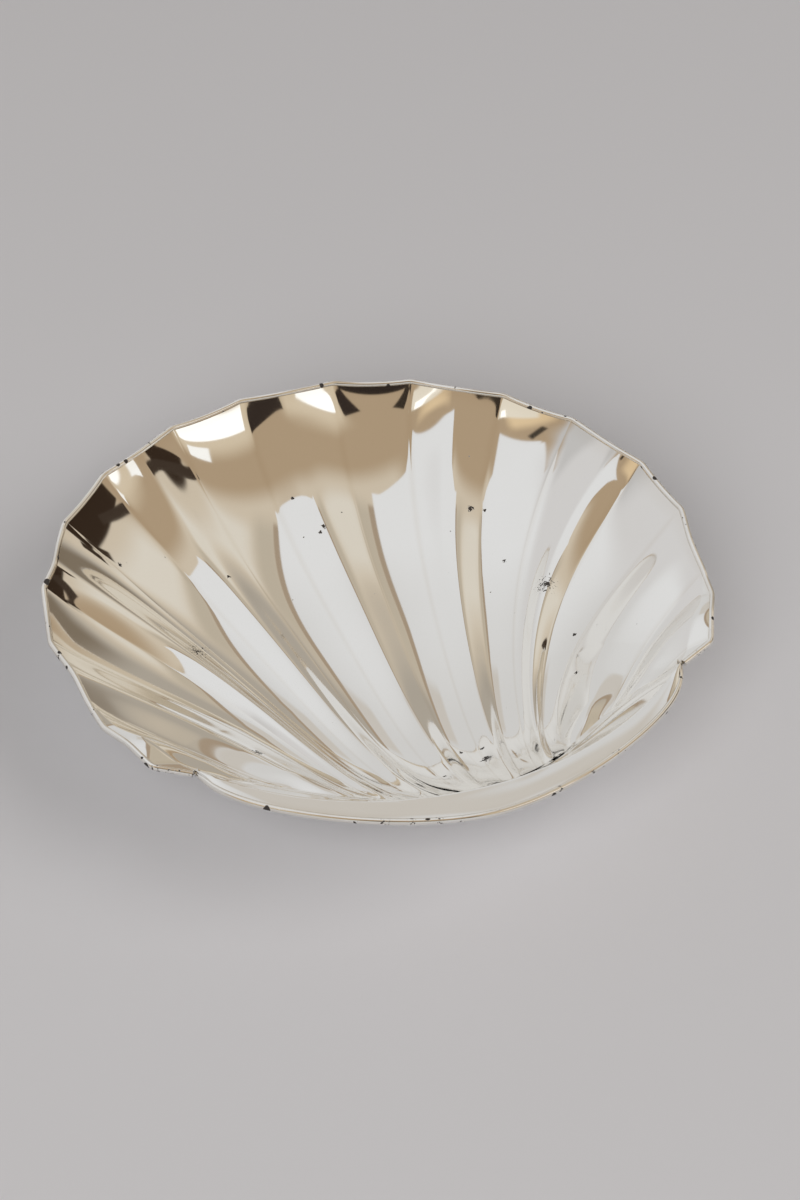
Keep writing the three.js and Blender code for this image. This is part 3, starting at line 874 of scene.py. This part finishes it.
# The room as the dish sees it, for the reflections. Places are in degrees from straight overhead:
# to the camera's right, and ahead of it (less than nothing is back over the camera). Later cards
# stand in front of earlier ones.
wallWhite = (0.76, 0.77, 0.785)
roomValues = {
    "ceiling": (0.43, 0.325, 0.215),
    "nearFloor": (0.50, 0.46, 0.40),
    "floorFrom": (60.0, 88.0),  # where the ceiling's colour passes into the floor's
    "seen": (0.52, 0.50, 0.485),  # what the camera itself sees past the floor's edge
    "onPaper": 0.3,  # how much of the room lights dull surfaces, where the lamps do most
    "cards": [
        # name, place, half size, turned, softness of the side and far edges, colour
        ("wall behind the camera", (0, -84), (140, 32), 0, (1, 8), (0.60, 0.60, 0.59)),
        ("right-hand wall", (112, -10), (44, 90), 0, (10, 10), (0.58, 0.575, 0.56)),
        ("left-hand wall", (-112, -30), (50, 90), 0, (10, 10), (0.57, 0.565, 0.555)),
        ("warm wall", (28, 56), (60, 45), 22, (12, 12), (0.62, 0.54, 0.43)),
        ("warm wall's bright middle", (32, 36), (12, 17), 0, (12, 12), (0.71, 0.665, 0.585)),
        ("warm wall's end", (12, 36), (6, 22), 0, (8, 14), (0.51, 0.45, 0.36)),
        ("warm wall's lower part", (35, 88), (45, 28), 0, (14, 14), (0.42, 0.38, 0.325)),
        ("low corner", (50, 80), (17, 15), 0, (16, 10), (0.21, 0.17, 0.125)),
        ("foot of the wall", (5, 87), (4, 5), 0, (3, 3), (0.19, 0.16, 0.12)),
        ("glow round the window", (38, -22), (24, 11), 31, (10, 9), (0.66, 0.56, 0.42)),
        ("window", (43, -20), (15, 5.5), 31, (0.8, 0.8), (1.2, 1.2, 1.18)),
        ("window's bright corner", (44, -6), (4, 3), 20, (0.8, 0.8), (1.0, 1.0, 0.98)),
        ("glow behind the camera", (-40, -25), (10, 6), 0, (6, 5), (0.74, 0.57, 0.36)),
        ("window behind the camera", (-31, -29), (12, 4.5), -12, (1.5, 1.5), (0.80, 0.74, 0.63)),
        ("lamp behind the camera", (-27, -27), (3, 1.6), -12, (0.6, 0.6), (1.3, 1.27, 1.2)),
        ("shelf end", (60, 30), (8, 15), 8, (1.0, 1.0), (0.035, 0.022, 0.014)),
        ("shelf's bracket", (52, 20), (2.2, 9), -28, (0.8, 0.8), (0.05, 0.035, 0.025)),
        ("shelf foot", (50, 46), (4, 3), 30, (1.0, 1.0), (0.045, 0.03, 0.02)),
        ("white wall's frame", (-33, 66), (40.6, 52), 0, (0.8, 4), (0.38, 0.30, 0.22)),
        ("white wall", (-33, 61.5), (37.5, 54.5), 0, (0.9, 1.5), wallWhite),
        ("white wall's upper part", (-30, 6), (10, 15), 0, (0.9, 0.9), wallWhite),
        ("white wall's slanted end", (-26.6, -5.5), (9, 10), -28.6, (0.9, 0.9), wallWhite),
        ("white wall's corner", (-11.1, 9), (12.2, 8), 32.7, (0.9, 0.9), wallWhite),
        ("white wall's lower part", (-33, 100), (37.5, 52), 0, (0.9, 40), (0.65, 0.65, 0.65)),
        ("white wall's low edge", (0, 67), (4.6, 11), 0, (3, 5), (0.59, 0.56, 0.52)),
        ("side wall", (-60, 45), (20, 48), 0, (12, 12), (0.66, 0.655, 0.66)),
        ("side wall's top", (-59, 2), (15, 14), 0, (8, 12), (0.55, 0.545, 0.545)),
        ("dark opening", (-39, -15), (3.5, 1.2), 30, (1.0, 1.0), (0.05, 0.04, 0.03)),
        ("camera stand", (2, -45.5), (17, 5), 0, (0.8, 0.8), (0.03, 0.022, 0.018)),
        ("camera stand's left brace", (13, -34), (4, 6), 35, (0.8, 0.8), (0.035, 0.025, 0.02)),
        ("camera stand's right brace", (-10, -36), (3.0, 5.0), -25, (0.8, 0.8), (0.04, 0.03, 0.022)),
    ],
}


def cardGroup():
    # a soft-edged rectangle on the plan of directions
    usual = {
        "Place": None, "Centre": None, "Turn": 0.0, "Half Width": 10.0, "Half Depth": 10.0,
        "Side Softness": 1.0, "Far Softness": 1.0,
    }
    group, given, result = effectGroup("card in the room", usual, ["Mask"])
    turn = {"Vector": given["Place"], "Center": given["Centre"], "Angle": given["Turn"]}
    turned = addNode(group, "VectorRotate", turn, rotation_type="Z_AXIS").outputs[0]
    ends = {0: turned, 1: given["Centre"]}
    offset = addNode(group, "VectorMath", ends, operation="SUBTRACT").outputs[0]
    sides = addNode(group, "SeparateXYZ", {"Vector": offset})
    parts = []
    for axis, half, softness in (
        ("X", "Half Width", "Side Softness"), ("Y", "Half Depth", "Far Softness"),
    ):
        off = mathNode(group, "ABSOLUTE", sides.outputs[axis])
        inside = mathNode(group, "SUBTRACT", given[half], off)
        edge = mathNode(group, "DIVIDE", inside, given[softness])
        parts.append(softRange(group, edge, -0.5, 0.5))
    group.links.new(mathNode(group, "MULTIPLY", *parts), result["Mask"])
    return group


def makeRoom(values):
    world = bpy.data.worlds.new("studio room")
    scene.world = world
    world.use_nodes = True
    tree = world.node_tree
    tree.nodes.clear()
    direction = addNode(tree, "TexCoord").outputs["Generated"]
    turn = math.radians(cameraValues["turned"])

    def part(axis):
        ends = {0: direction, 1: axis}
        return addNode(tree, "VectorMath", ends, operation="DOT_PRODUCT").outputs["Value"]

    right = part((math.cos(turn), -math.sin(turn), 0))
    ahead = part((math.sin(turn), math.cos(turn), 0))
    height = part((0, 0, 1))
    fromTop = mathNode(tree, "MULTIPLY", mathNode(tree, "ARCCOSINE", height), math.degrees(1))
    squares = [mathNode(tree, "MULTIPLY", length, length) for length in (right, ahead)]
    level = mathNode(tree, "SQRT", mathNode(tree, "ADD", *squares))
    scale = mathNode(tree, "DIVIDE", fromTop, mathNode(tree, "MAXIMUM", level, 0.0001))
    place = addNode(tree, "CombineXYZ", {
        "X": mathNode(tree, "MULTIPLY", right, scale),
        "Y": mathNode(tree, "MULTIPLY", ahead, scale),
    }).outputs[0]
    lowness = softRange(tree, fromTop, *values["floorFrom"])
    colour = mixColour(tree, lowness, (*values["ceiling"], 1), (*values["nearFloor"], 1))
    cards = cardGroup()
    for label, centre, half, turned, softness, shade in values["cards"]:
        card = addNode(tree, "Group", node_tree=cards, inputs={
            "Place": place, "Centre": (*centre, 0), "Turn": -math.radians(turned),
            "Half Width": half[0], "Half Depth": half[1],
            "Side Softness": softness[0], "Far Softness": softness[1],
        })
        card.label = label
        colour = mixColour(tree, card.outputs["Mask"], colour, (*shade, 1))
    ray = addNode(tree, "LightPath").outputs
    shown = mixColour(tree, ray["Is Camera Ray"], colour, (*values["seen"], 1))
    weaker = {"Value": ray["Is Diffuse Ray"], "To Min": 1.0, "To Max": values["onPaper"]}
    strength = addNode(tree, "MapRange", weaker).outputs[0]
    light = addNode(tree, "Background", {"Color": shown, "Strength": strength})
    out = tree.nodes.new("ShaderNodeOutputWorld")
    tree.links.new(light.outputs[0], out.inputs["Surface"])


makeRoom(roomValues)

# Two large lamps for the floor and the dull parts; the dish doesn't mirror them.
lampValues = {
    "soft lamp": {
        "place": (2.6, -1.9, 2.9), "size": 3.2, "power": 58.0, "colour": (1.0, 0.975, 0.95),
    },
    "front lamp": {
        "place": (-1.9, -3.1, 2.75), "size": 3.2, "power": 122.0, "colour": (1.0, 0.985, 0.965),
    },
}


def makeLamp(name, values):
    data = bpy.data.lights.new(name, "AREA")
    data.shape = "DISK"
    data.size = values["size"]
    data.energy = values["power"]
    data.color = values["colour"]
    lamp = bpy.data.objects.new(name, data)
    lamp.location = values["place"]
    toDish = -Vector(values["place"])
    lamp.rotation_euler = toDish.to_track_quat("-Z", "Y").to_euler()
    lamp.visible_glossy = False
    lamp.visible_camera = False
    scene.collection.objects.link(lamp)


for name, values in lampValues.items():
    makeLamp(name, values)
print("floor and light made")


# What each piece stands for.
standsFor = [
    (shellBowl, "shell_bowl", "silver_plate"),
    (fanWire, "fan_rim_wire", "worn_silver"),
    (hingeWire, "hinge_rim_wire", "worn_silver"),
]
for side in ballFeet:
    standsFor.append((ballFeet[side], f"ball_foot_{side}", "silver_plate"))
    standsFor.append((footPads[side], f"foot_pad_{side}", "worn_silver"))
for piece, node, slot in standsFor:
    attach(piece, "root")
    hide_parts(node)
